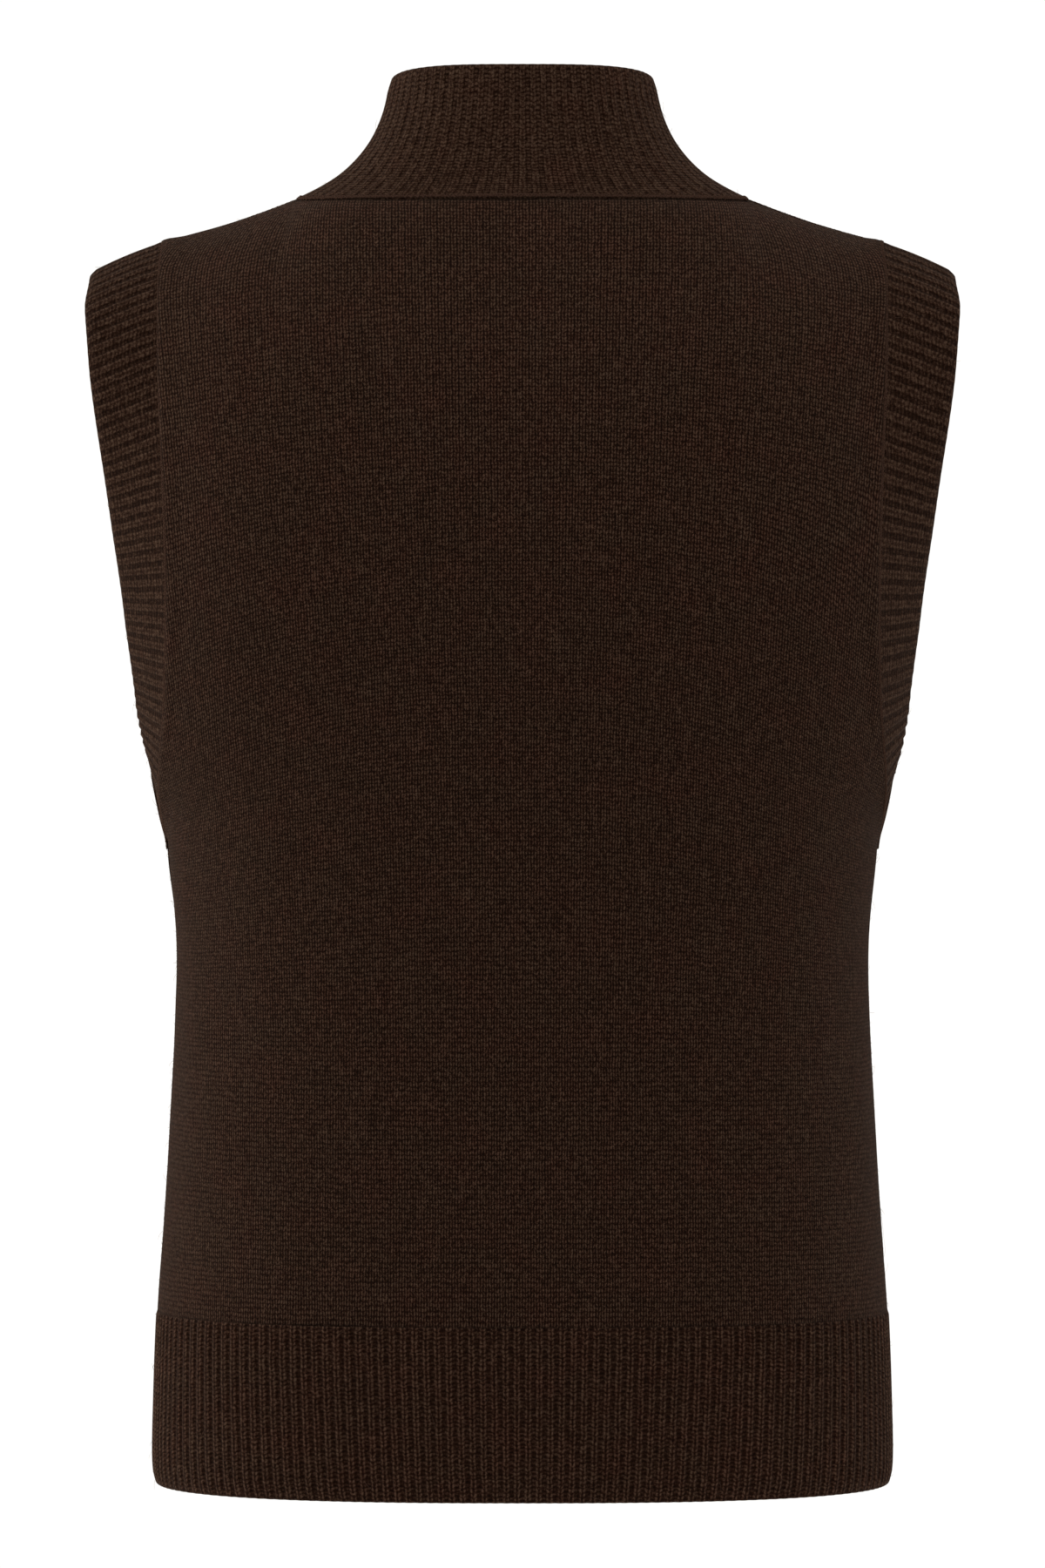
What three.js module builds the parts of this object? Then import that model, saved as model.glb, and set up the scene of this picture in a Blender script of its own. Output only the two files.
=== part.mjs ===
// A women's sleeveless knitted vest with a high rib collar, filled out as if worn.
// Millimetres, +Z up. The back faces +Y and the wearer's left is +X. The origin is the
// middle of the neck opening at the height of the shoulder seams' neck ends.
import * as THREE from "three";

// Cloth: a plain wall, and ribs that stand out from it on its outer side
const JERSEY_WALL = 2;
const RIB_WALL = 2.2;
const RIB_RELIEF = 0.9;
const PANEL_SEAM = 0.18;
const RING_SEAM = 0.48;

// Knitted ribs on each piece
const HEM_RIBS_EACH_SIDE = 88;
const COLLAR_RIBS = { back: 37, front: 41 };
const BAND_RIBS = { left: { back: 56, front: 46 }, right: { back: 46, front: 56 } };

// Grid of a panel: columns from its middle to its edge, the first of them on the neckline
const HALF_COLUMNS = 12;
const NECK_COLUMNS = 8;

// Side seam's place front to back, and how a row's height leaves its middle height
const SIDE_Y = -8;
const ROW_DIP = 4;
const NECK_DIP = 2;

// Ends of the neckline and shoulder seams
const NECK_POINT = new THREE.Vector3(104.5, -2, -3.3);
const SHOULDER_POINT = new THREE.Vector3(167, -1, -23.4);
const BACK_NECK = new THREE.Vector3(0, 50, -3);
const FRONT_NECK = new THREE.Vector3(0, -66, -45);
const NECK_SQUARE = 2.2;

// Rows of the back, from the hem rib up: the row's middle, its end on the side seam or
// armhole, how square it is, how much it follows the neckline, and steps to the next row
const BACK_ROWS = [
  { midY: 100, midZ: -521.5, endX: 170.5, endY: -8, endZ: -521.5, square: 2.5, neck: 0, steps: 2 },
  { midY: 97, midZ: -440, endX: 165, endY: -8, endZ: -440, square: 2.5, neck: 0, steps: 2 },
  { midY: 97, midZ: -350, endX: 161.5, endY: -8, endZ: -350, square: 2.5, neck: 0, steps: 1 },
  { midY: 99, midZ: -300, endX: 165.5, endY: -8, endZ: -306, square: 2.5, neck: 0, steps: 1 },
  { midY: 102, midZ: -262, endX: 168, endY: 34, endZ: -276, square: 2.5, neck: 0, steps: 1 },
  { midY: 104, midZ: -225, endX: 165, endY: 55, endZ: -236, square: 2.5, neck: 0, steps: 1 },
  { midY: 104, midZ: -180, endX: 164, endY: 63, endZ: -186, square: 2.5, neck: 0, steps: 2 },
  { midY: 101, midZ: -125, endX: 165.5, endY: 62, endZ: -128, square: 2.4, neck: 0, steps: 2 },
  { midY: 92, midZ: -80, endX: 167.5, endY: 55, endZ: -84, square: 2.3, neck: 0, steps: 1 },
  { midY: 79, midZ: -50, endX: 168, endY: 43, endZ: -55, square: 2.2, neck: 0.1, steps: 1 },
  { midY: 67, midZ: -27, endX: 168, endY: 29, endZ: -38, square: 2, neck: 0.35, steps: 1 },
  { midY: 57, midZ: -11, endX: 167, endY: 14, endZ: -27.5, square: 2, neck: 0.7, steps: 1 },
];

// Rows of the front, with the fullness of the chest and a lower neckline
const FRONT_ROWS = [
  { midY: -119, midZ: -521.5, endX: 170.5, endY: -8, endZ: -521.5, square: 2.4, neck: 0, steps: 2 },
  { midY: -117, midZ: -440, endX: 165, endY: -8, endZ: -440, square: 2.4, neck: 0, steps: 2 },
  { midY: -121, midZ: -350, endX: 161.5, endY: -8, endZ: -350, square: 2.3, neck: 0, steps: 1 },
  { midY: -126, midZ: -300, endX: 165.5, endY: -8, endZ: -306, square: 2.3, neck: 0, steps: 1 },
  { midY: -128, midZ: -262, endX: 165, endY: -46, endZ: -278, square: 2.3, neck: 0, steps: 1 },
  { midY: -127, midZ: -225, endX: 161, endY: -66, endZ: -238, square: 2.3, neck: 0, steps: 1 },
  { midY: -119, midZ: -180, endX: 158, endY: -74, endZ: -188, square: 2.3, neck: 0, steps: 2 },
  { midY: -104, midZ: -132, endX: 158.5, endY: -72, endZ: -130, square: 2.3, neck: 0, steps: 2 },
  { midY: -93, midZ: -101, endX: 161, endY: -63, endZ: -86, square: 2.2, neck: 0, steps: 1 },
  { midY: -83, midZ: -80, endX: 163.5, endY: -49, endZ: -57, square: 2.2, neck: 0.15, steps: 1 },
  { midY: -76, midZ: -65, endX: 165, endY: -33, endZ: -39, square: 2, neck: 0.4, steps: 1 },
  { midY: -70, midZ: -54, endX: 166, endY: -17, endZ: -28, square: 2, neck: 0.75, steps: 1 },
];
const SIDE_SEAM_ROWS = 3;
const UNDERARM_ROW = BACK_ROWS.slice(0, SIDE_SEAM_ROWS).reduce((sum, row) => sum + row.steps, 0);

// Rows of the hem rib, from its lower edge up to the panels
const HEM_ROWS = [
  { z: -602, halfWidth: 171.5, backY: 102.5, frontY: -120.5 },
  { z: -592, halfWidth: 172.5, backY: 103, frontY: -121 },
  { z: -560, halfWidth: 172, backY: 102.5, frontY: -120.5 },
];
const HEM_SQUARE = { back: 2.5, front: 2.4 };

// Rows of the collar above the neckline: share of its height, and its ring there
const COLLAR_ROWS = [
  { rise: 0.1, halfWidth: 93.5, sideY: -3, backY: 46.5, frontY: -64 },
  { rise: 0.2, halfWidth: 84.8, sideY: -4, backY: 44.5, frontY: -62.5 },
  { rise: 0.34, halfWidth: 76.5, sideY: -5.5, backY: 42.5, frontY: -61.5 },
  { rise: 0.5, halfWidth: 70, sideY: -7, backY: 41, frontY: -61 },
  { rise: 0.7, halfWidth: 65, sideY: -8.5, backY: 39.5, frontY: -60.5 },
  { rise: 1, halfWidth: 61, sideY: -10, backY: 38, frontY: -60 },
];
const COLLAR_TOP = { side: 52.2, backRise: 6.5, sideFall: 10.2, frontDrop: 18, bend: 1.5 };

// Reach of an armhole band from its seam to its free edge, down from the shoulder:
// outwards, in towards the arm, and up; behind the arm it is tucked in
const BAND_REACH = [
  { at: 0, out: 35, inward: 0, up: -14.8, tuck: 0 },
  { at: 0.05, out: 35.3, inward: 0, up: -14.6, tuck: 0 },
  { at: 0.1, out: 35.5, inward: 2, up: -13.8, tuck: 0 },
  { at: 0.22, out: 33, inward: 9, up: -13, tuck: 0 },
  { at: 0.345, out: 29.5, inward: 19, up: -11, tuck: 0 },
  { at: 0.47, out: 26, inward: 28, up: -6, tuck: 0 },
  { at: 0.62, out: 21, inward: 32, up: 3, tuck: 0 },
  { at: 0.75, out: 15, inward: 31, up: 8, tuck: 0.5 },
  { at: 0.865, out: 8.5, inward: 24, up: 17, tuck: 3.5 },
  { at: 0.95, out: 7.5, inward: 9, up: 33, tuck: 3 },
  { at: 1, out: 8.5, inward: 0, up: 36, tuck: 0 },
];
const BAND_TUCK = { left: 1, right: 0.6 };
const BAND_ROWS = [0, 0.45, 0.9, 1];
const BAND_CROWN = 0.9;
const BAND_ROLL = 1.1;

// Plain insides of the rings, and the fineness with which sections are measured
const COLLAR_INNER_COLUMNS = 39;
const BAND_INNER_COLUMNS = 48;
const SECTION_STEPS = 80;

// Finds the place at a share of a line's length: the point before it, and how far past that
function finder(line) {
  const run = [0];
  for (let i = 1; i < line.length; i++) run.push(run[i - 1] + line[i].distanceTo(line[i - 1]));
  return (share) => {
    const want = share * run.at(-1);
    let i = 0;
    while (i < line.length - 2 && run[i + 1] < want) i++;
    return [i, (want - run[i]) / (run[i + 1] - run[i])];
  };
}

// Point or direction in a line of them, at a place that a finder gives
const at = (line, [i, part]) => line[i].clone().lerp(line[i + 1], part);

// Points evenly spaced along a line of points
function evenly(line, count) {
  const find = finder(line);
  return Array.from({ length: count + 1 }, (_, k) => at(line, find(k / count)));
}

// Quarter of a rounded section, from its middle at x = 0 to its end
function quarter(mid, end, sideY, square, dip = ROW_DIP) {
  const cut = Math.max(0, (end.y - sideY) / (mid.y - sideY));
  const full = end.x / Math.pow(1 - Math.pow(cut, square), 1 / square);
  const last = Math.acos(Math.pow(cut, square / 2));
  const line = [];
  for (let k = 0; k <= SECTION_STEPS; k++) {
    const angle = (last * k) / SECTION_STEPS;
    const x = full * Math.pow(Math.sin(angle), 2 / square);
    const y = sideY + (mid.y - sideY) * Math.pow(Math.max(0, Math.cos(angle)), 2 / square);
    const share = Math.pow(Math.min(1, x / end.x), dip);
    line.push(new THREE.Vector3(x, y, mid.z + (end.z - mid.z) * share));
  }
  return line;
}

// Top edge of half a panel: the neckline out to the neck point, then the shoulder seam
function topEdge(neckMiddle) {
  const curve = quarter(neckMiddle, NECK_POINT, NECK_POINT.y, NECK_SQUARE, NECK_DIP);
  const neckline = evenly(curve, NECK_COLUMNS);
  const shoulder = evenly([NECK_POINT, SHOULDER_POINT], HALF_COLUMNS - NECK_COLUMNS);
  return neckline.concat(shoulder.slice(1));
}

// Half a row of a panel, which near the top takes on the shape of the top edge
function halfRow(row, top) {
  const mid = new THREE.Vector3(0, row.midY, row.midZ);
  const end = new THREE.Vector3(row.endX, row.endY, row.endZ);
  return evenly(quarter(mid, end, SIDE_Y, row.square), HALF_COLUMNS).map((point, k) => {
    const share = k / HALF_COLUMNS;
    const like = top[k].clone();
    like.addScaledVector(mid.clone().sub(top[0]), 1 - share);
    like.addScaledVector(end.clone().sub(top[HALF_COLUMNS]), share);
    return point.lerp(like, row.neck);
  });
}

// Points of half a panel, rows from the hem rib up to the neckline, smooth over the shoulder
function halfPanel(rows, otherRows, neckMiddle, otherMiddle) {
  const top = topEdge(neckMiddle);
  const sections = rows.map((row) => halfRow(row, top)).concat([top]);
  const beyond = halfRow(otherRows[otherRows.length - 1], topEdge(otherMiddle));
  const columns = top.map((point, k) => {
    const line = sections.map((section) => section[k]);
    const last = line[line.length - 2];
    line.push(k > NECK_COLUMNS ? beyond[k] : point.clone().multiplyScalar(2).sub(last));
    return new THREE.CatmullRomCurve3(line, false, "centripetal");
  });
  const grid = [];
  rows.forEach((row, i) => {
    for (let k = 0; k < row.steps; k++) {
      const t = (i + k / row.steps) / (rows.length + 1);
      grid.push(columns.map((column) => column.getPoint(t)));
    }
  });
  grid.push(top);
  return grid;
}

// A whole row from its half: the back runs from the left to the right, the front returns
const mirrored = (point) => new THREE.Vector3(-point.x, point.y, point.z);
function wholeRow(half, side) {
  const left = half.slice().reverse();
  const row = left.concat(half.slice(1).map(mirrored));
  return side === "back" ? row : row.reverse();
}

// Outward directions of a grid whose columns run round the body and rows run upwards
function outwards(grid, closed) {
  const last = grid[0].length - 1;
  return grid.map((row, i) =>
    row.map((_, j) => {
      const before = closed && j === 0 ? row[last - 1] : row[Math.max(0, j - 1)];
      const after = closed && j === last ? row[1] : row[Math.min(last, j + 1)];
      const below = grid[Math.max(0, i - 1)][j];
      const above = grid[Math.min(grid.length - 1, i + 1)][j];
      return after.clone().sub(before).cross(above.clone().sub(below)).normalize();
    }),
  );
}

// Point or direction at a share of the way along a line of evenly spaced ones
function along(line, share) {
  const place = share * (line.length - 1);
  const i = Math.min(line.length - 2, Math.floor(place));
  return at(line, [i, place - i]);
}

// Grids of both panels and their outward directions, which agree at the seams they share
function makePanels() {
  const backHalf = halfPanel(BACK_ROWS, FRONT_ROWS, BACK_NECK, FRONT_NECK);
  const frontHalf = halfPanel(FRONT_ROWS, BACK_ROWS, FRONT_NECK, BACK_NECK);
  const back = backHalf.map((half) => wholeRow(half, "back"));
  const front = frontHalf.map((half) => wholeRow(half, "front"));
  const backOut = outwards(back, false);
  const frontOut = outwards(front, false);
  const last = 2 * HALF_COLUMNS;
  const top = back.length - 1;
  const share = (i, j) => {
    const both = backOut[i][j].clone().add(frontOut[i][last - j]).normalize();
    backOut[i][j] = both;
    frontOut[i][last - j] = both;
  };
  for (let i = 0; i <= UNDERARM_ROW; i++) {
    share(i, 0);
    share(i, last);
  }
  for (let j = 0; j < HALF_COLUMNS - NECK_COLUMNS + 1; j++) {
    share(top, j);
    share(top, last - j);
  }
  return { back: { grid: back, out: backOut }, front: { grid: front, out: frontOut } };
}

// Moves the border of a grid in, so that a seam's two pieces stay apart
function pullIn(grid, sides, distance) {
  const last = grid.length - 1;
  const move = (point, inner) => point.add(inner.clone().sub(point).setLength(distance));
  const copy = grid.map((row) => row.map((point) => point.clone()));
  if (sides.bottom) copy[0].forEach((point, j) => move(point, grid[1][j]));
  if (sides.top) copy[last].forEach((point, j) => move(point, grid[last - 1][j]));
  if (sides.ends)
    copy.forEach((row, i) => {
      move(row[0], grid[i][1]);
      move(row[row.length - 1], grid[i][row.length - 2]);
    });
  return copy;
}

// Moves each point of a grid along its outward direction
const moved = (grid, out, distance) =>
  grid.map((row, i) =>
    row.map((point, j) => point.clone().addScaledVector(out[i][j], distance(j))),
  );

// Triangles between two lines of vertices that run side by side
function bridge(a, b, faces, turned) {
  let i = 0;
  let k = 0;
  const add = (p, q, r) => faces.push(...(turned ? [q, p, r] : [p, q, r]));
  while (i < a.length - 1 || k < b.length - 1) {
    const nextA = (i + 1) / (a.length - 1);
    const nextB = (k + 1) / (b.length - 1);
    if (k === b.length - 1 || (i < a.length - 1 && nextA <= nextB)) {
      add(a[i], a[i + 1], b[k]);
      i++;
    } else {
      add(a[i], b[k + 1], b[k]);
      k++;
    }
  }
}

// Closed wall between an outer and an inner grid; a ring's rows end where they start
function wall(outer, inner, closed) {
  const points = [];
  const faces = [];
  const number = (grid) =>
    grid.map((row) => {
      const ids = row.map((point, j) => {
        if (closed && j === row.length - 1) return -1;
        points.push(point.x, point.y, point.z);
        return points.length / 3 - 1;
      });
      if (closed) ids[ids.length - 1] = ids[0];
      return ids;
    });
  const skin = (ids, grid, turned) => {
    for (let i = 0; i < ids.length - 1; i++)
      for (let j = 0; j < ids[i].length - 1; j++) {
        const [a, b, c, d] = [ids[i][j], ids[i][j + 1], ids[i + 1][j + 1], ids[i + 1][j]];
        const rising = grid[i][j].distanceTo(grid[i + 1][j + 1]);
        const falling = grid[i][j + 1].distanceTo(grid[i + 1][j]);
        const corners = rising <= falling ? [a, b, c, a, c, d] : [a, b, d, b, c, d];
        faces.push(...(turned ? corners.reverse() : corners));
      }
  };
  const out = number(outer);
  const ins = number(inner);
  skin(out, outer, false);
  skin(ins, inner, true);
  bridge(out[0], ins[0], faces, true);
  bridge(out[out.length - 1], ins[ins.length - 1], faces, false);
  if (!closed) {
    bridge(out.map((row) => row[0]), ins.map((row) => row[0]), faces, false);
    bridge(out.map((row) => row.at(-1)), ins.map((row) => row.at(-1)), faces, true);
  }
  const geometry = new THREE.BufferGeometry();
  geometry.setAttribute("position", new THREE.Float32BufferAttribute(points, 3));
  geometry.setIndex(faces);
  geometry.computeVertexNormals();
  return geometry;
}

const ridge = (j) => (j % 2 ? RIB_RELIEF : 0);
const plain = (depth) => () => -depth;

// Every so many columns of a fine grid, for the plain inside of a ribbed wall
const thinned = (grid, columns) =>
  grid.map((row) => {
    const step = (row.length - 1) / columns;
    return Array.from({ length: columns + 1 }, (_, k) => row[Math.round(k * step)]);
  });

function panelGeometry(panel) {
  const grid = pullIn(panel.grid, { bottom: true, top: true, ends: true }, PANEL_SEAM);
  return wall(moved(grid, panel.out, plain(0)), moved(grid, panel.out, plain(JERSEY_WALL)), false);
}

// Half of the hem rib, hung from the lower row of its panel
function hemGeometry(panel, side) {
  const columns = 2 * HEM_RIBS_EACH_SIDE;
  const rows = HEM_ROWS.map((row) => {
    const mid = new THREE.Vector3(0, side === "back" ? row.backY : row.frontY, row.z);
    const end = new THREE.Vector3(row.halfWidth, SIDE_Y, row.z);
    return wholeRow(evenly(quarter(mid, end, SIDE_Y, HEM_SQUARE[side]), columns / 2), side);
  });
  const shares = Array.from({ length: columns + 1 }, (_, j) => j / columns);
  rows.push(shares.map((share) => along(panel.grid[0], share)));
  const out = outwards(rows, false);
  out[out.length - 1] = shares.map((share) => along(panel.out[0], share));
  const start = side === "back" ? 1 : -1;
  out.forEach((row) => {
    row[0].set(start, 0, 0);
    row[columns].set(-start, 0, 0);
  });
  out[out.length - 1][0] = panel.out[0][0].clone();
  out[out.length - 1][columns] = panel.out[0].at(-1).clone();
  const grid = pullIn(rows, { top: true, ends: true }, PANEL_SEAM);
  const inner = moved(grid, out, plain(RIB_WALL));
  return wall(moved(grid, out, ridge), thinned(inner, 2 * HALF_COLUMNS), false);
}

// Places of the ribs' tops and troughs round a ring: part 0 is its back and part 1 its front
function ringPlaces(ribs) {
  const half = (part, count, length) =>
    Array.from({ length }, (_, k) => ({ part, share: k / (2 * count) }));
  return half(0, ribs.back, 2 * ribs.back).concat(half(1, ribs.front, 2 * ribs.front + 1));
}

// Height of the collar's top edge, level behind and lower in front
function collarTop({ part, share }) {
  const { side, backRise, sideFall, frontDrop, bend } = COLLAR_TOP;
  const across = Math.max(0, Math.sin(Math.PI * share));
  if (part === 0) return side + backRise * Math.sin((Math.PI / 2) * across);
  return side - sideFall * across - frontDrop * across ** bend;
}

function collarGeometry(panels) {
  const places = ringPlaces(COLLAR_RIBS);
  const first = HALF_COLUMNS - NECK_COLUMNS;
  const neck = (rows) => rows.at(-1).slice(first, first + 2 * NECK_COLUMNS + 1);
  const base = [neck(panels.back.grid), neck(panels.front.grid)];
  const baseOut = [neck(panels.back.out), neck(panels.front.out)];
  const rows = [places.map(({ part, share }) => along(base[part], share))];
  COLLAR_ROWS.forEach((row) => {
    const end = new THREE.Vector3(row.halfWidth, row.sideY, 0);
    const halves = ["back", "front"].map((side) => {
      const mid = new THREE.Vector3(0, row[side + "Y"], 0);
      return wholeRow(evenly(quarter(mid, end, row.sideY, NECK_SQUARE), SECTION_STEPS), side);
    });
    rows.push(
      places.map((place, j) => {
        const point = along(halves[place.part], place.share);
        point.z = rows[0][j].z * (1 - row.rise) + collarTop(place) * row.rise;
        return point;
      }),
    );
  });
  const out = outwards(rows, true);
  out[0] = places.map(({ part, share }) => along(baseOut[part], share));
  const grid = pullIn(rows, { bottom: true }, RING_SEAM);
  const inner = thinned(moved(grid, out, plain(RIB_WALL)), COLLAR_INNER_COLUMNS);
  return wall(moved(grid, out, ridge), inner, true);
}

// Reach of a band at a share of the way down from the shoulder
function reachAt(share, part, side) {
  const i = Math.max(1, BAND_REACH.findIndex((row) => row.at >= share));
  const [above, below] = [BAND_REACH[i - 1], BAND_REACH[i]];
  const t = (share - above.at) / (below.at - above.at);
  const mix = (key) => above[key] + (below[key] - above[key]) * t;
  const tuck = part === 0 ? mix("tuck") * BAND_TUCK[side] : 0;
  const inward = part === 0 ? -mix("inward") : mix("inward");
  return new THREE.Vector3(mix("out") - tuck, inward, mix("up"));
}

// Rib band round an armhole: a ring that runs up the back, over the shoulder and down the front
function bandGeometry(panels, side) {
  const last = 2 * HALF_COLUMNS;
  const backEnd = side === "left" ? 0 : last;
  const edge = (grid, end) => grid.slice(UNDERARM_ROW).map((row) => row[end]);
  const toLeft = (line) => (side === "left" ? line : line.map(mirrored));
  const [seam, seamOut] = ["grid", "out"].map((key) => [
    toLeft(edge(panels.back[key], backEnd)),
    toLeft(edge(panels.front[key], last - backEnd)).reverse(),
  ]);
  const finders = seam.map(finder);
  const places = ringPlaces(BAND_RIBS[side]);
  const base = places.map(({ part, share }) => at(seam[part], finders[part](share)));
  const rows = BAND_ROWS.map((reach) =>
    places.map(({ part, share }, j) => {
      const down = part === 0 ? 1 - share : share;
      return base[j].clone().addScaledVector(reachAt(down, part, side), reach);
    }),
  );
  const out = outwards(rows, true);
  out[0] = places.map(({ part, share }) => at(seamOut[part], finders[part](share)));
  const shaped = rows.map((row, i) => {
    const reach = BAND_ROWS[i];
    const lift = 4 * BAND_CROWN * reach * (1 - reach) - (reach === 1 ? BAND_ROLL : 0);
    return row.map((point, j) => point.clone().addScaledVector(out[i][j], lift));
  });
  const grid = pullIn(shaped, { bottom: true }, RING_SEAM);
  const outer = moved(grid, out, ridge);
  const inner = thinned(moved(grid, out, plain(RIB_WALL)), BAND_INNER_COLUMNS);
  if (side === "left") return wall(outer, inner, true);
  const other = (points) => points.map((row) => row.map(mirrored).reverse());
  return wall(other(outer), other(inner), true);
}

// Material of each piece: the same brown wool, rougher where it is ribbed
const wool = (roughness) =>
  new THREE.MeshStandardMaterial({ color: 0x3a281f, roughness, metalness: 0, side: THREE.FrontSide });

const panels = makePanels();
const vest = new THREE.Group();
const pieces = {
  back_panel: panelGeometry(panels.back),
  front_panel: panelGeometry(panels.front),
  hem_rib_back: hemGeometry(panels.back, "back"),
  hem_rib_front: hemGeometry(panels.front, "front"),
  collar_rib: collarGeometry(panels),
  armhole_rib_left: bandGeometry(panels, "left"),
  armhole_rib_right: bandGeometry(panels, "right"),
};
for (const [name, geometry] of Object.entries(pieces)) {
  const piece = new THREE.Mesh(geometry, wool(name.includes("panel") ? 0.9 : 0.95));
  piece.name = name;
  vest.add(piece);
}

export default vest;
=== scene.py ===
"""Knitted cloth, seams, loose fibres and stage of a sleeveless vest with a high rib collar.

Millimetres in the tables and on the grids, metres in the meshes. +Z is up, the back faces
+Y and the wearer's left is +X. Every piece follows the form of the solid that it replaces.
"""

import math
from collections import namedtuple

import bmesh
import bpy
import numpy as np
from bpy.props import FloatProperty, FloatVectorProperty, IntProperty, PointerProperty
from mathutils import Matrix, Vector


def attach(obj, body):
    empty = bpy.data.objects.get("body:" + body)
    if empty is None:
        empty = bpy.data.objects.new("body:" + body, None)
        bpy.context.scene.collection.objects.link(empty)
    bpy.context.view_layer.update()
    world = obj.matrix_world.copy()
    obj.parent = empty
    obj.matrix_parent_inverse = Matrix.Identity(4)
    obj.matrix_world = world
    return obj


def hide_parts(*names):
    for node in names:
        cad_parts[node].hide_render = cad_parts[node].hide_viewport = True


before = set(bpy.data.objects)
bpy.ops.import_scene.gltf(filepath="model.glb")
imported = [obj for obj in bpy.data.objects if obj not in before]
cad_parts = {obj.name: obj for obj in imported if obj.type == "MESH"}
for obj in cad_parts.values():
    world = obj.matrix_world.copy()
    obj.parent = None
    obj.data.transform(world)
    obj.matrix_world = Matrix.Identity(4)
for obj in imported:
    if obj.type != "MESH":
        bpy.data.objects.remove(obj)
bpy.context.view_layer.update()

bl_info = {
    "name": "Knitted vest",
    "version": (1, 0, 0),
    "blender": (4, 5, 0),
    "location": "3D View > Sidebar > Vest",
    "description": "Knits the panels, ribs and seams of a vest over its solids",
    "category": "Object",
}

MILLIMETRE = 0.001

# Cloth: how thick the plain knitting and the rib are
JERSEY_WALL = 2.0
RIB_WALL = 2.2

# Ribs on each piece, on the back and front halves of a ring, and the share of the hem's
# width that its ribs lean to the middle at the lower edge
HEM_RIBS = 88
COLLAR_RIBS = (37, 41)
BAND_RIBS = {"left": (56, 46), "right": (46, 56)}
HEM_LEAN = 0.0105

# Kinds of rib: the knit share, the light left in the purl groove under its painted shade (which
# also sets the purl's height), how far a rib stands out, its groove's depth, how far its lip stands
# over the next piece and the share of that left at the sides, its crest's height in the relief
# (which also lightens the crest's colour as a painted highlight), how clear its stitches are and
# the noise at which its redder patches begin
Rib = namedtuple("Rib", "knit groove relief depth lip side crest clear warm")
RIBS = {
    "hem_rib": Rib(0.68, 0.68, 0.7, 0.3, 0, 1, 0, 0.6, 0.42),
    "collar_rib": Rib(0.7, 0.9, 0.5, 0.2, 0.8, 0.05, 0.2, 0.5, 0.52),
    "band_rib": Rib(0.75, 0.74, 0.45, 0.25, 0.6, 1, 0.17, 0.45, 0.6),
}

# Roundness of a rib's section, and how deep the edges of its stitches go
RIB_ROUNDNESS = 0.75
RIB_EDGE = 0.6

# Plain knitting: how clear its stitches are, the noise at which its redder patches begin, how
# closed its stitches are and how much less so where they are stretched at the shoulders, the
# height in metres where that begins and its share for each metre above
PLAIN_CLEAR, PLAIN_WARM = 0.7, 0.42
PLAIN_CLOSED, STRETCHED_LESS = 0.8, 0.15
STRETCHED_FROM, STRETCHED_RATE = -0.22, 7

# Unevenness: the scale of three noises, and how far each moves courses and stitch columns
Unevenness = namedtuple("Unevenness", "scale courses sway")
UNEVEN = Unevenness(0.35, 0.9, 0.3)
JITTER = Unevenness(1.3, 0.4, 0.16)
FUZZ = Unevenness(1700.0, 0.35, 0.2)
RIB_SWAY = 0.45

# Heather and painted shade: the scale, detail and roughness of the heather's noises, and how much
# the height of the knitting (painted light on the stitches' tops, painted shade between them),
# the flecks and the streaks lighten the yarn and bring out the lighter fibres
FLECKS = (2400.0, 3.0, 0.65)
STREAKS = (560.0, 2.0, 0.6)
PATCHES = (60.0, 3.0, 0.55)
TWIST = (1400.0, 2.0, 0.6)
HeatherAndShade = namedtuple("HeatherAndShade", "height flecks streaks less")
YARN_LIGHT = HeatherAndShade(1.3, 2.3, 1.3, 1.33)
FIBRE_LIGHT = HeatherAndShade(0.5, 1.0, 0.6, 0.83)
WOOL_SHINE = 0.06
NAP_ROUGHNESS = 0.42

# A rib's lip: its reach up from the seam and the power by which it falls to the sides, then
# the run over which ribs rise from the seam, the run over which they sink to the free edge,
# and the share of their height at each end
LIP_REACH = 2.2
LIP_FALL = 1.5
RIB_START, RIB_START_SHARE = 1.6, 0.2
RIB_FADE, RIB_FADE_SHARE = 5, 0.15

# How far a panel's edge sinks under the collar's lip, and the height of its columns along
# the armholes, where the seam's allowance lies under them
NECK_SINK = 0.7
ARMHOLE_RIDGE = (0.75, 0.85, 0.5, 0.2)

# Fineness: columns of a panel for each of the solid's, columns of a rib, row spacing, and
# steps of a free edge, of a section's curve and of the collar's rings
PANEL_FINENESS = 6
HALF_COLUMNS = 12 * PANEL_FINENESS
NECK_COLUMNS = 8 * PANEL_FINENESS
LAST_COLUMN = 2 * HALF_COLUMNS
FIRST_NECK_COLUMN = HALF_COLUMNS - NECK_COLUMNS
RIB_COLUMNS = 8
ROW_SPACING = 3.4
RIB_ROW_SPACING = 2.1
EDGE_STEPS = 6
SECTION_STEPS = 320
COLLAR_STEPS = 160

# Side seam's place front to back, and how a row's height leaves its middle height
SIDE_Y = -8
ROW_DIP = 4
NECK_DIP = 2

# Ends of the neckline and shoulder seams, and how far the shoulder seam sags between them
NECK_POINT = (104.5, -2, -3.3)
SHOULDER_POINT = (167, -1, -23.4)
SHOULDER_SAG = 1.3
BACK_NECK = (0, 50, -3)
FRONT_NECK = (0, -66, -45)
NECK_SQUARE = 2.2

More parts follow.
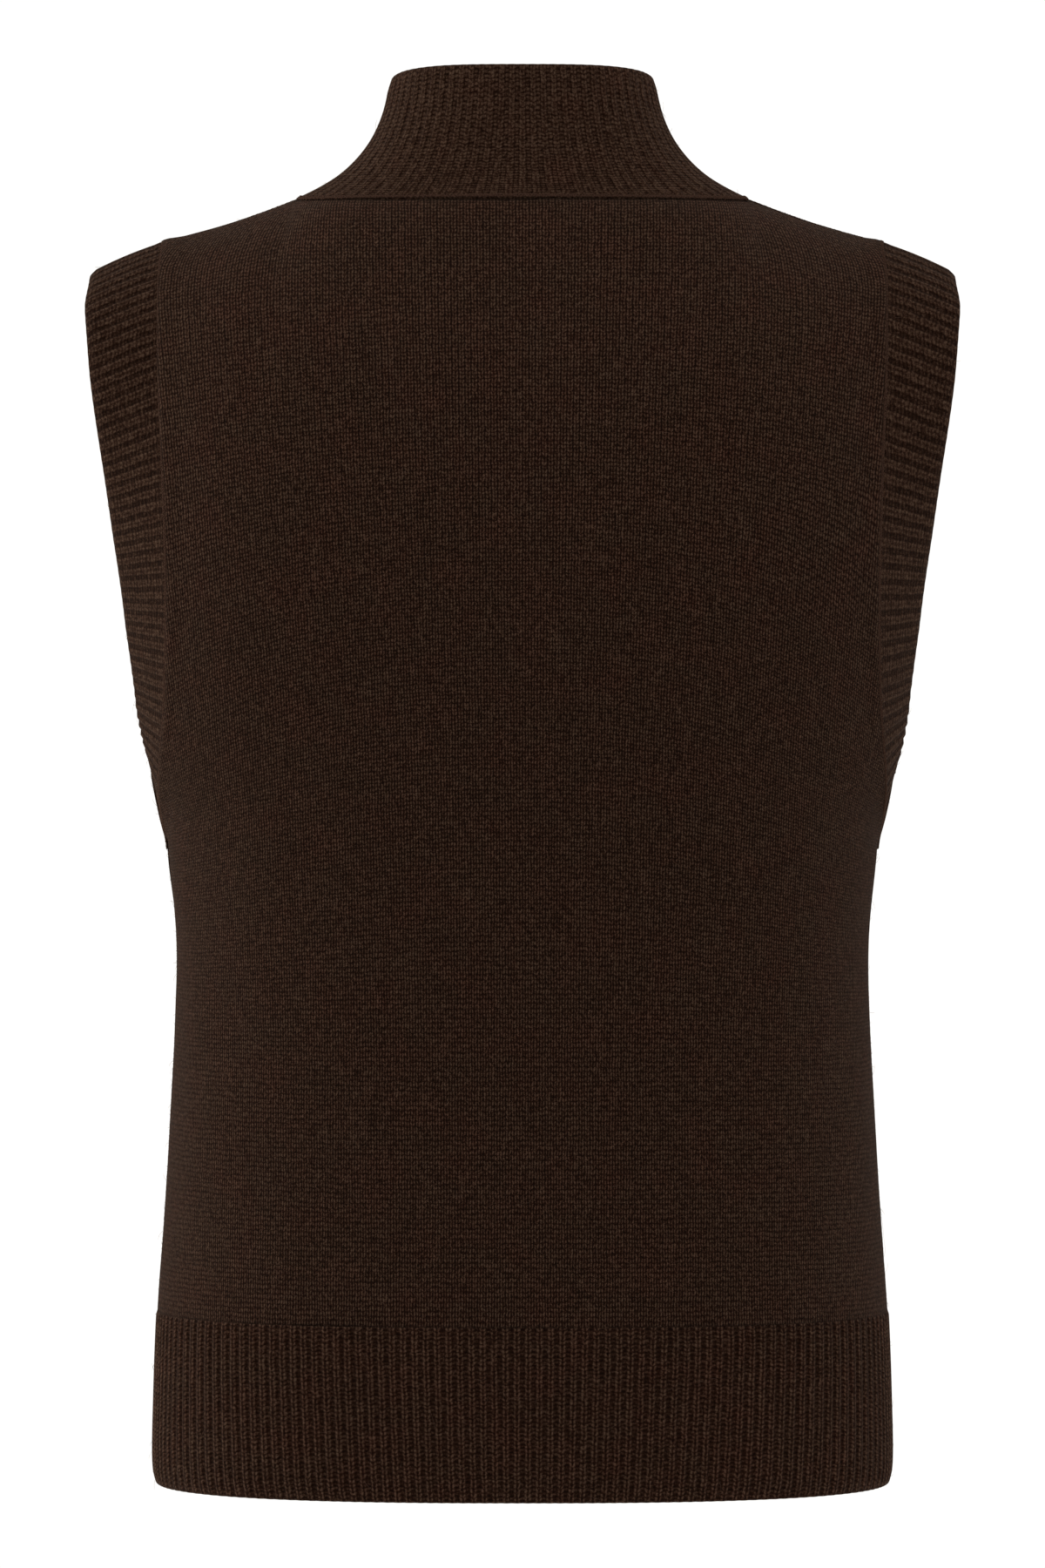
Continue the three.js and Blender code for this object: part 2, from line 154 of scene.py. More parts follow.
# Rows of a panel from the hem rib up, as in the solids
Row = namedtuple("Row", "mid_y mid_z end_x end_y end_z square neck")
BACK_ROWS = [
    Row(100, -521.5, 170.5, -8, -521.5, 2.5, 0),
    Row(97, -440, 165, -8, -440, 2.5, 0),
    Row(97, -350, 161.5, -8, -350, 2.5, 0),
    Row(99, -300, 165.5, -8, -306, 2.5, 0),
    Row(102, -262, 168, 34, -276, 2.5, 0),
    Row(104, -225, 165, 55, -236, 2.5, 0),
    Row(104, -180, 164, 63, -186, 2.5, 0),
    Row(101, -125, 165.5, 62, -128, 2.4, 0),
    Row(92, -80, 167.5, 55, -84, 2.3, 0),
    Row(79, -50, 168, 43, -55, 2.2, 0.1),
    Row(67, -27, 168, 29, -38, 2, 0.35),
    Row(57, -11, 167, 14, -27.5, 2, 0.7),
]
FRONT_ROWS = [
    Row(-119, -521.5, 170.5, -8, -521.5, 2.4, 0),
    Row(-117, -440, 165, -8, -440, 2.4, 0),
    Row(-121, -350, 161.5, -8, -350, 2.3, 0),
    Row(-126, -300, 165.5, -8, -306, 2.3, 0),
    Row(-128, -262, 165, -46, -278, 2.3, 0),
    Row(-127, -225, 161, -66, -238, 2.3, 0),
    Row(-119, -180, 158, -74, -188, 2.3, 0),
    Row(-104, -132, 158.5, -72, -130, 2.3, 0),
    Row(-93, -101, 161, -63, -86, 2.2, 0),
    Row(-83, -80, 163.5, -49, -57, 2.2, 0.15),
    Row(-76, -65, 165, -33, -39, 2, 0.4),
    Row(-70, -54, 166, -17, -28, 2, 0.75),
]
SIDE_SEAM_ROWS = 3

# Softness of the cloth's surface: the number of waves in it and their radians a millimetre,
# and how far it moves on a panel, with the seed of each panel's waves
SOFT_WAVES = 14
SOFT_PITCH = (0.02, 0.09)
SOFT_SIZE = 0.3
SOFT_SEEDS = {"back": 7, "front": 11}

# Rows of the hem rib from its lower edge up, and the panel's row that its curves run on to
HemRow = namedtuple("HemRow", "z half_width back_y front_y")
HEM_ROWS = [
    HemRow(-602, 171.5, 102.5, -120.5),
    HemRow(-592, 172.5, 103, -121),
    HemRow(-560, 172, 102.5, -120.5),
]
HEM_SQUARE = {"back": 2.5, "front": 2.4}
HEM_RUN_ON = 12

# Rows of the collar above the neckline, and the height of its top edge
CollarRow = namedtuple("CollarRow", "rise half_width side_y back_y front_y")
COLLAR_ROWS = [
    CollarRow(0.1, 93.5, -3, 46.5, -64),
    CollarRow(0.2, 84.8, -4, 44.5, -62.5),
    CollarRow(0.34, 76.5, -5.5, 42.5, -61.5),
    CollarRow(0.5, 70, -7, 41, -61),
    CollarRow(0.7, 65, -8.5, 39.5, -60.5),
    CollarRow(1, 61, -10, 38, -60),
]
COLLAR_SIDE, COLLAR_BACK_RISE, COLLAR_SIDE_FALL = 52.2, 6.5, 10.2
COLLAR_FRONT_DROP, COLLAR_BEND = 18, 1.5

# Reach of an armhole band from its seam to its free edge at shares of the way down from the
# shoulder, less a tuck on its back half, and the share of that tuck on each side
Reach = namedtuple("Reach", "at out inward up tuck")
BAND_REACH = [
    Reach(0, 35, 0, -14.8, 0),
    Reach(0.05, 35.3, 0, -14.6, 0),
    Reach(0.1, 35.5, 2, -13.8, 0),
    Reach(0.22, 33, 9, -13, 0),
    Reach(0.345, 29.5, 19, -11, 0),
    Reach(0.47, 26, 28, -6, 0),
    Reach(0.62, 21, 32, 3, 0),
    Reach(0.75, 15, 31, 8, 0.5),
    Reach(0.865, 8.5, 24, 17, 3.5),
    Reach(0.95, 7.5, 9, 33, 3),
    Reach(1, 8.5, 0, 36, 0),
]
BAND_TUCK = {"left": 1, "right": 0.6}

# A band's width, its crown in the middle, how far its edge rolls in and from what share of
# its width, the share over which it turns away from the panel, and its smoothing in columns
BAND_WIDTH = 36
BAND_CROWN = 0.9
BAND_ROLL = 1.1
BAND_ROLL_FROM = 0.9
BAND_TURN = 0.45
BAND_WINDOW = 21

# Gauge down the back: widths of a stitch column and heights of a course, and how far the
# courses droop below their middle at the sides, where the cloth is drawn to the armholes
Gauge = namedtuple("Gauge", "z wale course left_droop right_droop")
GAUGE = [
    Gauge(-600, 2.58, 2.25, 0, 0),
    Gauge(-400, 2.58, 2.25, 0, 2),
    Gauge(-366, 2.6, 2.22, 6, 12),
    Gauge(-309, 2.64, 2.06, 20, 30),
    Gauge(-252, 2.68, 1.9, 25, 38),
    Gauge(-195, 2.76, 1.82, 20, 38),
    Gauge(-138, 2.85, 1.93, 14, 18),
    Gauge(-85, 2.93, 1.9, 9, 10),
    Gauge(-40, 3.0, 1.95, 3, 3),
    Gauge(0, 3.05, 2.0, 0, 0),
]
DROOP_REACH = 160
DROOP_POWER = 2.4
DROOP_LIMIT = 1.1
RIB_COURSE = 2.0

# Chains of stitches on linked seams: the length of a stitch, how far its strands swing
# sideways and in and out, their radius, and how far they lie off the cloth's surface
Chain = namedtuple("Chain", "period swing depth yarn lift")
NECK_CHAIN = Chain(2.9, 0.8, 0.3, 0.5, 0.1)
BAND_CHAIN = Chain(2.7, 0.6, 0.2, 0.45, 0.45)
SEAM_CHAIN = Chain(2.4, 0.4, 0.2, 0.34, -0.2)
CHAIN_STEPS = 8
CHAIN_SLACK = (0.5, 1.4)
SLACK_STEPS = 6
NECK_CHAIN_RISE = 0.6

# Share of the lighter fibres' colour in the linking yarn: a painted highlight that makes the seams'
# ridges look lit
LINKING_HIGHLIGHT = 0.35

# Loose fibres: how far off each grid they start, how many more lie on the collar and bands for
# their size, shares of the longest one's length, how far they stand up and curl for their
# length, how many times as long and as high the long hairs are, and the radius along one
PANEL_LIFT, HEM_LIFT, RING_LIFT = 0.2, 0.5, 0.3
RING_FIBRES = 1.6
FIBRE_LENGTHS, FIBRE_STAND, FIBRE_CURL = (0.3, 1), (0.15, 0.75), 0.35
HAIR_LENGTH, HAIR_STAND = 3.5, 0.1
FIBRE_RADII = (0.05, 0.05, 0.05, 0.045, 0.035, 0.02)

# Lights: place, width and height, power in watts and colour
Lamp = namedtuple("Lamp", "name place size power colour")
LAMPS = (
    Lamp("left_edge_light", (1.9, -0.3, -0.1), 1.1, 14.5, (1, 0.97, 0.91)),
    Lamp("right_edge_light", (-1.9, -0.6, 0.1), 1.1, 3.2, (1, 0.97, 0.92)),
    Lamp("top_light", (0.2, 0.5, 1.7), 1.4, 4, (1, 0.98, 0.95)),
)
LAMP_AIM = (0, 0, -0.28)
BACKDROP_STRENGTH = 1.06


def lengths(line):
    """Distance of each point of a line from its first one."""
    return np.concatenate([[0], np.cumsum(np.linalg.norm(np.diff(line, axis=0), axis=1))])


def placed(line, shares):
    """Points at shares of a line's length."""
    run = lengths(line)
    want = np.asarray(shares) * run[-1]
    return np.stack([np.interp(want, run, line[:, i]) for i in range(line.shape[1])], axis=1)


def evenly(line, count):
    """Points evenly spaced along a line of points."""
    return placed(line, np.linspace(0, 1, count + 1))


def quarter(mid, end, side_y, square, dip=ROW_DIP):
    """Quarter of a rounded section, from its middle at x = 0 to its end."""
    cut = max(0.0, (end[1] - side_y) / (mid[1] - side_y))
    full = end[0] / (1 - cut**square) ** (1 / square)
    angle = np.linspace(0, math.acos(cut ** (square / 2)), SECTION_STEPS + 1)
    x = full * np.sin(angle) ** (2 / square)
    y = side_y + (mid[1] - side_y) * np.clip(np.cos(angle), 0, None) ** (2 / square)
    z = mid[2] + (end[2] - mid[2]) * np.clip(x / end[0], 0, 1) ** dip
    return np.stack([x, y, z], axis=1)


def top_edge(neck_middle):
    """Top edge of half a panel: the neckline out to the neck point, then the shoulder seam."""
    curve = quarter(neck_middle, NECK_POINT, NECK_POINT[1], NECK_SQUARE, NECK_DIP)
    shoulder = np.linspace(NECK_POINT, SHOULDER_POINT, HALF_COLUMNS - NECK_COLUMNS + 1)
    shoulder[:, 2] -= SHOULDER_SAG * np.sin(np.linspace(0, math.pi, len(shoulder)))
    return np.concatenate([evenly(curve, NECK_COLUMNS), shoulder[1:]])


def half_row(row, top):
    """Half a row of a panel, which near the top takes on the shape of the top edge."""
    mid = np.array((0, row.mid_y, row.mid_z), float)
    end = np.array((row.end_x, row.end_y, row.end_z), float)
    points = evenly(quarter(mid, end, SIDE_Y, row.square), HALF_COLUMNS)
    share = np.linspace(0, 1, HALF_COLUMNS + 1)[:, None]
    like = top + (mid - top[0]) * (1 - share) + (end - top[-1]) * share
    return points * (1 - row.neck) + like * row.neck


def through(sections, i, t):
    """Point on the smooth centripetal curves through sections, past section i by t."""
    before = sections[i - 1] if i else 2 * sections[0] - sections[1]
    ends = [before, sections[i], sections[i + 1]]
    ends.append(sections[i + 2] if i + 2 < len(sections) else 2 * ends[2] - ends[1])
    gaps = [
        np.maximum(1e-4, np.linalg.norm(b - a, axis=-1, keepdims=True)) ** 0.5
        for a, b in zip(ends, ends[1:])
    ]
    a, b, c, d = ends
    start = (b - a) / gaps[0] - (c - a) / (gaps[0] + gaps[1]) + (c - b) / gaps[1]
    stop = (c - b) / gaps[1] - (d - b) / (gaps[1] + gaps[2]) + (d - c) / gaps[2]
    start, stop = start * gaps[1], stop * gaps[1]
    square = -3 * b + 3 * c - 2 * start - stop
    cube = 2 * b - 2 * c + start + stop
    return b + start * t + square * t * t + cube * t**3


def smooth_rows(sections, steps):
    """Rows on the curves through sections, with a number of steps to each next section."""
    rows = [through(sections, i, k / n) for i, n in enumerate(steps) for k in range(n)]
    return np.array(rows + [sections[len(steps)]])


def half_panel(rows, other_rows, neck_middle, other_middle, steps):
    """Grid of half a panel from the hem rib up to the neckline, smooth over the shoulder."""
    top = top_edge(neck_middle)
    sections = [half_row(row, top) for row in rows] + [top]
    over = half_row(other_rows[-1], top_edge(other_middle))
    column = np.arange(HALF_COLUMNS + 1)
    share = np.clip((column - NECK_COLUMNS) / PANEL_FINENESS, 0, 1)[:, None]
    beyond = (2 * top - sections[-2]) * (1 - share) + over * share
    return smooth_rows(sections + [beyond], steps)


def whole(half, side):
    """Whole rows from their halves: the back runs from left to right, the front returns."""
    mirrored = half * (-1, 1, 1)
    grid = np.concatenate([half[..., ::-1, :], mirrored[..., 1:, :]], axis=-2)
    return grid if side == "back" else grid[..., ::-1, :]


def unit(vectors):
    """Vectors of length 1 in the same directions."""
    return vectors / np.maximum(1e-9, np.linalg.norm(vectors, axis=-1, keepdims=True))


def outwards(grid, closed=False):
    """Outward directions of a grid whose columns run round the body and rows run up."""
    if closed:
        across = np.roll(grid[:, :-1], -1, axis=1) - np.roll(grid[:, :-1], 1, axis=1)
        across = np.concatenate([across, across[:, :1]], axis=1)
    else:
        across = np.gradient(grid, axis=1)
    return unit(np.cross(across, np.gradient(grid, axis=0)))


def gauge_at(z, key):
    """A column of the gauge table at some heights."""
    return np.interp(z, [row.z for row in GAUGE], [getattr(row, key) for row in GAUGE])


def stitch_counts(grid):
    """Stitch columns from the middle and courses from the hem at each point of a panel."""
    middle = grid.shape[1] // 2
    line = grid[:, middle]
    run = lengths(line)
    course = gauge_at(line[:, 2], "course")
    risen = np.concatenate([[0], np.cumsum(np.diff(run) * 2 / (course[1:] + course[:-1]))])
    round_body = np.array([lengths(row) - lengths(row)[middle] for row in grid])
    wales = round_body / gauge_at(line[:, 2], "wale")[:, None]
    x, z = grid[..., 0], grid[..., 2]
    droop = np.where(x > 0, gauge_at(z, "left_droop"), gauge_at(z, "right_droop"))
    droop = droop * np.clip(np.abs(x) / DROOP_REACH, 0, DROOP_LIMIT) ** DROOP_POWER
    courses = risen[:, None] + droop / course[:, None]
    return np.stack([wales, courses], axis=-1)


def soften(grid, out, seed, size):
    """Moves a grid's points in and out a little, as knitting never lies quite even."""
    rng = np.random.default_rng(seed)
    lift = np.zeros(grid.shape[:2])
    for _ in range(SOFT_WAVES):
        wave = rng.normal(size=3) * rng.uniform(*SOFT_PITCH)
        lift += np.sin(grid @ wave + rng.uniform(0, 2 * math.pi))
    return grid + out * (lift * size / 4)[..., None]


def make_panels():
    """Grids, outward directions and stitch counts of both panels, which agree at seams."""
    spots = [(row.mid_y, row.mid_z) for row in BACK_ROWS] + [BACK_NECK[1:]]
    steps = [max(2, round(math.dist(a, b) / ROW_SPACING)) for a, b in zip(spots, spots[1:])]
    back = whole(half_panel(BACK_ROWS, FRONT_ROWS, BACK_NECK, FRONT_NECK, steps), "back")
    front = whole(half_panel(FRONT_ROWS, BACK_ROWS, FRONT_NECK, BACK_NECK, steps), "front")
    outs = [outwards(back), outwards(front)]
    underarm = sum(steps[:SIDE_SEAM_ROWS])
    shoulder = [*range(FIRST_NECK_COLUMN + 1)]
    pairs = [(slice(0, underarm + 1), column) for column in (0, LAST_COLUMN)]
    pairs += [(-1, column) for column in shoulder + [LAST_COLUMN - j for j in shoulder]]
    for rows, column in pairs:
        both = unit(outs[0][rows, column] + outs[1][rows, LAST_COLUMN - column])
        outs[0][rows, column] = both
        outs[1][rows, LAST_COLUMN - column] = both
    panels = {}
    for side, grid, out in (("back", back, outs[0]), ("front", front, outs[1])):
        panels[side] = {"grid": grid, "out": out, "knit": stitch_counts(grid)}
    return panels, underarm


PANELS, UNDERARM_ROW = make_panels()


def rib_shape(ribs, rib, share):
    """How far the outside stands off at a number of ribs: rounded ribs, narrow grooves."""
    wave = 0.5 - 0.5 * np.cos(2 * math.pi * ribs)
    return ((rib.relief + rib.depth) * wave**RIB_ROUNDNESS - rib.depth) * share


def hem_form(side):
    """Hem rib from the panel down to its lower edge."""
    panel = PANELS[side]
    columns = HEM_RIBS * RIB_COLUMNS
    shares = np.linspace(0, 1, columns + 1)
    top, bottom = BACK_ROWS[0].mid_z, HEM_ROWS[0].z
    sections = []
    for row in HEM_ROWS:
        mid = (0, row.back_y if side == "back" else row.front_y, row.z)
        half = quarter(mid, (row.half_width, SIDE_Y, row.z), SIDE_Y, HEM_SQUARE[side])
        lean = HEM_LEAN * (top - row.z) / (top - bottom) * np.sin(shares * 2 * math.pi)
        sections.append(placed(whole(evenly(half, columns // 2), side), shares + lean))
    sections += [placed(panel["grid"][i], shares) for i in (0, HEM_RUN_ON)]
    heights = [row.z for row in HEM_ROWS] + [BACK_ROWS[0].mid_z]
    steps = [round((b - a) / RIB_ROW_SPACING) for a, b in zip(heights, heights[1:])]
    grid = smooth_rows(sections, steps)
    out = outwards(grid)
    out[:, 0] = unit(out[:, 0] * (1, 0, 0))
    out[:, -1] = unit(out[:, -1] * (1, 0, 0))
    out[-1] = unit(placed(panel["out"][0], shares))
    down = lengths(grid[::-1, columns // 2]) / RIB_COURSE
    ribs = np.tile(shares * HEM_RIBS, (len(grid), 1))
    return {
        "grid": grid[::-1],
        "out": out[::-1],
        "knit": np.stack([ribs, np.tile(-down[:, None], (1, columns + 1))], axis=-1),
        "closed": False,
    }


def ring_places(ribs):
    """Part and share of the way along it for each column of a ring: back 0, front 1."""
    back, front = (np.arange(count * RIB_COLUMNS) / (count * RIB_COLUMNS) for count in ribs)
    part = np.concatenate([np.zeros(len(back)), np.ones(len(front) + 1)]).astype(int)
    return part, np.concatenate([back, front, [1.0]])


def ring_line(halves, part, share):
    """Points of a ring from its two halves at the places of its columns."""
    first, second = (placed(half, share[part == i]) for i, half in enumerate(halves))
    return np.concatenate([first, second])


def rib_counts(ribs, rows):
    """Ribs counted round a ring and courses counted from its seam."""
    total = sum(ribs)
    round_ring = np.arange(total * RIB_COLUMNS + 1) / RIB_COLUMNS
    risen = lengths(rows[:, 0]) / RIB_COURSE
    across = np.tile(round_ring, (len(rows), 1))
    return np.stack([across, np.tile(risen[:, None], (1, rows.shape[1]))], axis=-1)


def neck_lines(key):
    """Neckline parts of the panels' top rows."""
    neck = slice(FIRST_NECK_COLUMN, LAST_COLUMN - FIRST_NECK_COLUMN + 1)
    return [PANELS[side][key][-1, neck] for side in ("back", "front")]


def collar_form():
    """Collar from the neckline up to its top edge."""
    part, share = ring_places(COLLAR_RIBS)
    base = ring_line(neck_lines("grid"), part, share)
    across = np.clip(np.sin(math.pi * share), 0, None)
    behind = COLLAR_SIDE + COLLAR_BACK_RISE * np.sin(math.pi / 2 * across)
    before = COLLAR_SIDE - COLLAR_SIDE_FALL * across - COLLAR_FRONT_DROP * across**COLLAR_BEND
    top = np.where(part == 0, behind, before)
    sections = [base]
    for row in COLLAR_ROWS:
        halves = []
        for side, mid_y in (("back", row.back_y), ("front", row.front_y)):
            end = (row.half_width, row.side_y, 0)
            half = quarter((0, mid_y, 0), end, row.side_y, NECK_SQUARE)
            halves.append(whole(evenly(half, COLLAR_STEPS), side))
        line = ring_line(halves, part, share)
        line[:, 2] = base[:, 2] * (1 - row.rise) + top * row.rise
        sections.append(line)
    gaps = [np.linalg.norm(b - a, axis=1).mean() for a, b in zip(sections, sections[1:])]
    grid = smooth_rows(sections, [max(2, round(gap / RIB_ROW_SPACING)) for gap in gaps])
    out = outwards(grid, closed=True)
    out[0] = unit(ring_line(neck_lines("out"), part, share))
    return {"grid": grid, "out": out, "knit": rib_counts(COLLAR_RIBS, grid), "closed": True}


def armhole_halves(side, key):
    """Edges of the panels at an armhole: up the back, then down the front."""
    column = 0 if side == "left" else LAST_COLUMN
    back = PANELS["back"][key][UNDERARM_ROW:, column]
    return back, PANELS["front"][key][UNDERARM_ROW:, LAST_COLUMN - column][::-1]


def band_form(side):
    """Armhole band from its seam out to its free edge, up the back and down the front."""
    turn = np.array((1 if side == "left" else -1, 1, 1))
    part, share = ring_places(BAND_RIBS[side])
    seam, seam_out = (
        ring_line([half * turn for half in armhole_halves(side, key)], part, share)
        for key in ("grid", "out")
    )
    down = np.where(part == 0, 1 - share, share)
    at = [row.at for row in BAND_REACH]
    out, inward, up, tuck = (
        np.interp(down, at, [getattr(row, key) for row in BAND_REACH])
        for key in ("out", "inward", "up", "tuck")
    )
    out = out - np.where(part == 0, tuck * BAND_TUCK[side], 0)
    reach = np.stack([out, np.where(part == 0, -inward, inward), up], axis=1)
    ends = 2 * (BAND_WINDOW - 1)
    near = np.concatenate([reach[-ends - 1 : -1], reach, reach[1 : ends + 1]])
    window = np.hanning(BAND_WINDOW)[1:-1] / np.hanning(BAND_WINDOW).sum()
    smooth = [np.convolve(near[:, i], window, "same")[ends:-ends] for i in range(3)]
    reach = np.stack(smooth, axis=1)
    rows = np.linspace(0, 1, round(BAND_WIDTH / RIB_ROW_SPACING) + 1)
    flat = np.array([seam + reach * row for row in rows])
    directions = outwards(flat, closed=True)
    blend = np.clip(rows / BAND_TURN, 0, 1)[:, None, None]
    directions = unit(unit(seam_out) * (1 - blend) + directions * blend)
    rolled = np.clip((rows - BAND_ROLL_FROM) / (1 - BAND_ROLL_FROM), 0, 1)
    lift = 4 * BAND_CROWN * rows * (1 - rows) - BAND_ROLL * rolled
    grid = flat + directions * lift[:, None, None]
    return {
        "grid": grid * turn,
        "out": directions * turn,
        "knit": rib_counts(BAND_RIBS[side], grid),
        "closed": True,
    }


def lip_height(out, rib):
    """Height of a lip along its seam, lower where the cloth faces the sides or up."""
    return rib.lip * (rib.side + (1 - rib.side) * np.abs(out[:, 1]) ** LIP_FALL)


def rib_wall(form, rib):
    """Rows of a rib's outside, its rounded free edge and its inside back to the seam."""
    grid, out, knit = form["grid"], form["out"], form["knit"]
    radius = RIB_WALL / 2
    forward = unit(grid[-1] - grid[-2])
    run = lengths(grid[:, grid.shape[1] // 2])
    keep = run < run[-1] - radius
    start = np.clip(run / RIB_START, RIB_START_SHARE, 1)[:, None]
    rounding = np.clip((run[-1] - run) / RIB_FADE, RIB_FADE_SHARE, 1)[:, None]
    ribs = knit[..., 0]
    lip = np.outer(np.exp(-((run / LIP_REACH) ** 2)), lip_height(out[0], rib))
    outer = grid + out * (rib_shape(ribs, rib, start * rounding) + lip)[..., None]
    inner = grid - out * (RIB_WALL + rib_shape(ribs + 0.5, rib, 0.5))[..., None]
    centre = grid[-1] - forward * radius - out[-1] * radius
    edge, counts = [], []
    ridge = rib_shape(ribs[-1], rib, RIB_FADE_SHARE)[:, None]
    for step in range(EDGE_STEPS + 1):
        angle = math.pi * step / EDGE_STEPS
        size = radius + ridge * math.cos(angle / 2)
        edge.append(centre + out[-1] * size * math.cos(angle) + forward * size * math.sin(angle))
        count = knit[-1].copy()
        count[:, 1] += np.sign(knit[-1, 0, 1] - knit[0, 0, 1]) * (angle - 1) * radius / RIB_COURSE
        counts.append(count)
    rows = np.concatenate([outer[keep], edge, inner[keep][::-1]])
    return rows, np.concatenate([knit[keep], counts, knit[keep][::-1]])


def linked_object(name, data):
    """Object of a mesh, curve, lamp or camera in the scene."""
    made = bpy.data.objects.new(name, data)
    bpy.context.scene.collection.objects.link(made)
    return made


def add_grid(bm, points):
    """Grid of faces on rows of points in millimetres."""
    rows, columns = points.shape[0] - 1, points.shape[1] - 1
    made = bmesh.ops.create_grid(
        bm, x_segments=columns, y_segments=rows, size=0.5, calc_uvs=True
    )
    for vert, place in zip(made["verts"], points.reshape(-1, 3) * MILLIMETRE):
        vert.co = place
    return np.array(made["verts"], object).reshape(rows + 1, columns + 1)


def bridge(bm, *lines):
    """Strip of faces between two lines of vertices of a wall."""
    edges = [bm.edges.get(pair) for verts in lines for pair in zip(verts, verts[1:])]
    bmesh.ops.bridge_loops(bm, edges=edges)


def knit_object(name, bm, grids):
    """Object from a mesh whose grids' stitch counts are written over their plain UVs."""
    bmesh.ops.recalc_face_normals(bm, faces=bm.faces)
    mesh = bpy.data.meshes.new(name)
    bm.to_mesh(mesh)
    bm.free()
    mesh.shade_smooth()
    layer = mesh.uv_layers[0]
    shares = np.zeros(len(mesh.loops) * 2)
    layer.uv.foreach_get("vector", shares)
    corner = np.zeros(len(mesh.loops), int)
    mesh.loops.foreach_get("vertex_index", corner)
    which = np.zeros(len(mesh.vertices), int)
    mesh.attributes["grid"].data.foreach_get("value", which)
    shares = shares.reshape(-1, 2)
    counts = np.zeros_like(shares)
    for number, knit in enumerate(grids):
        mine = which[corner] == number
        rows = np.rint(shares[mine, 1] * (knit.shape[0] - 1)).astype(int)
        columns = np.rint(shares[mine, 0] * (knit.shape[1] - 1)).astype(int)
        counts[mine] = knit[rows, columns]
    layer.uv.foreach_set("vector", counts.ravel())
    layer.name = "knit"
    mesh.attributes.remove(mesh.attributes["grid"])
    return linked_object(name, mesh)


def copy_corners(bm, layer, faces):
    """Gives the corners of joining faces the place of a neighbouring face's corner."""
    for face in faces:
        for loop in face.loops:
            for other in loop.vert.link_loops:
                if other.face not in faces:
                    loop[layer].uv = other[layer].uv
                    break


def border(verts):
    """Vertices round a grid, ending with the first one."""
    sides = [verts[0, :-1], verts[:-1, -1], verts[-1, :0:-1], verts[:0:-1, 0]]
    return [*np.concatenate(sides), verts[0, 0]]


def panel_object(side):
    """Plain knitted panel: an outside and an inside, joined along the whole border."""
    panel = PANELS[side]
    grid = soften(panel["grid"], panel["out"], SOFT_SEEDS[side], SOFT_SIZE)
    neck = np.s_[-1, FIRST_NECK_COLUMN + 1 : LAST_COLUMN - FIRST_NECK_COLUMN]
    grid[neck] -= panel["out"][neck] * NECK_SINK
    for column, rise in enumerate(ARMHOLE_RIDGE):
        for j in (column, LAST_COLUMN - column):
            arm = np.s_[UNDERARM_ROW + 2 :, j]
            grid[arm] += panel["out"][arm] * rise
    bm = bmesh.new()
    layer = bm.loops.layers.uv.new("knit")
    number = bm.verts.layers.int.new("grid")
    outer = add_grid(bm, grid)
    inner = add_grid(bm, grid - panel["out"] * JERSEY_WALL)
    for vert in inner.ravel():
        vert[number] = 1
    before = set(bm.faces)
    bridge(bm, border(outer), border(inner))
    copy_corners(bm, layer, set(bm.faces) - before)
    return knit_object(side + "_knit", bm, [panel["knit"], panel["knit"]])


def rib_object(name, form, rib):
    """Ribbed wall: one strip over its free edge, joined at the seam and, if open, its ends."""
    points, knit = rib_wall(form, rib)
    bm = bmesh.new()
    layer = bm.loops.layers.uv.new("knit")
    bm.verts.layers.int.new("grid")
    verts = add_grid(bm, points)
    before = set(bm.faces)
    if form["closed"]:
        first, last = [*verts[0, :-1], verts[0, 0]], [*verts[-1, :-1], verts[-1, 0]]
        welds = dict(zip(verts[:, -1], verts[:, 0]))
        bmesh.ops.weld_verts(bm, targetmap=welds)
        bridge(bm, first, last)
    else:
        bridge(bm, verts[0], verts[-1])
        bmesh.ops.holes_fill(bm, edges=[edge for edge in bm.edges if edge.is_boundary])
    copy_corners(bm, layer, set(bm.faces) - before)
    return knit_object(name, bm, [knit])


def cut_size(form):
    """Width, length and area of a piece's flat cut in metres, from its grid."""
    grid = form["grid"] * MILLIMETRE
    width = max(lengths(row)[-1] for row in grid)
    length = max(lengths(grid[:, j])[-1] for j in range(0, grid.shape[1], 8))
    across, along = np.diff(grid, axis=1)[:-1], np.diff(grid, axis=0)[:, :-1]
    area = float(np.linalg.norm(np.cross(across, along), axis=-1).sum())
    return (float(width), float(length)), area


def chain_lines(line, out, chain):
    """Two strands that cross over and over along a seam, as points of thin tubes."""
    total = lengths(line)[-1]
    steps = round(total / chain.period * CHAIN_STEPS)
    points = evenly(line, steps)
    run = lengths(line) / total
    shares = np.linspace(0, 1, steps + 1)
    normals = unit(np.stack([np.interp(shares, run, out[:, i]) for i in range(3)], axis=1))
    sideways = unit(np.cross(np.gradient(points, axis=0), normals))
    phase = 2 * math.pi * shares * round(total / chain.period)
    rng = np.random.default_rng(steps)
    knots = np.linspace(0, 1, steps // SLACK_STEPS)
    strands = []
    for turn in (0, math.pi):
        slack = np.interp(shares, knots, rng.uniform(*CHAIN_SLACK, len(knots)))
        swing = chain.swing * slack * np.sin(phase + turn)
        depth = chain.depth * np.cos(2 * phase + turn)
        lift = chain.lift + depth * slack
        strands.append(points + sideways * swing[:, None] + normals * lift[:, None])
    return strands


